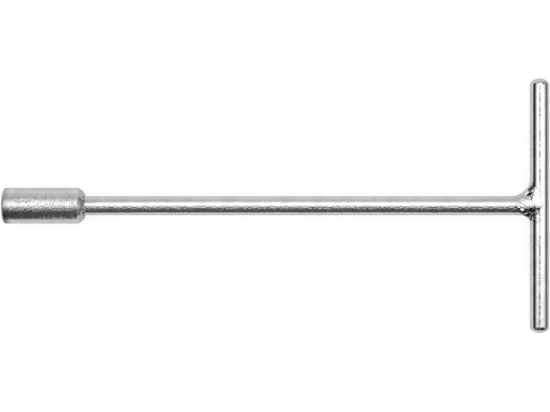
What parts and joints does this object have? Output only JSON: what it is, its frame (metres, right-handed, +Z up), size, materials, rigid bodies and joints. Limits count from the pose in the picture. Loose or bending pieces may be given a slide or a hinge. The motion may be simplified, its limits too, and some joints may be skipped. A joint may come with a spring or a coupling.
{
  "type": "t-handle socket wrench",
  "caption": "Plated steel T-handle socket wrench: a round hexagon socket welded to a round shaft, with a round cross bar welded across its end.",
  "frame": {"origin": "centre of the socket's mouth, on the axis of its hexagonal recess", "axes": "+X along the shaft from the mouth to the cross bar, +Y along the cross bar, +Z up, square to the plane of the tee as it lies flat"},
  "size_m": [0.286, 0.1334, 0.0188],
  "materials": {
    "plated_steel": "bright plate, lightly pitted and scratched",
    "plated_weld": "bright plate over lumpy weld metal"
  },
  "bodies": {
    "root": {"socket": "plated_steel", "shaft": "plated_steel", "cross_bar": "plated_steel", "socket_weld": "plated_weld", "tee_weld_upper": "plated_weld", "tee_weld_lower": "plated_weld"}
  },
  "joints": []
}
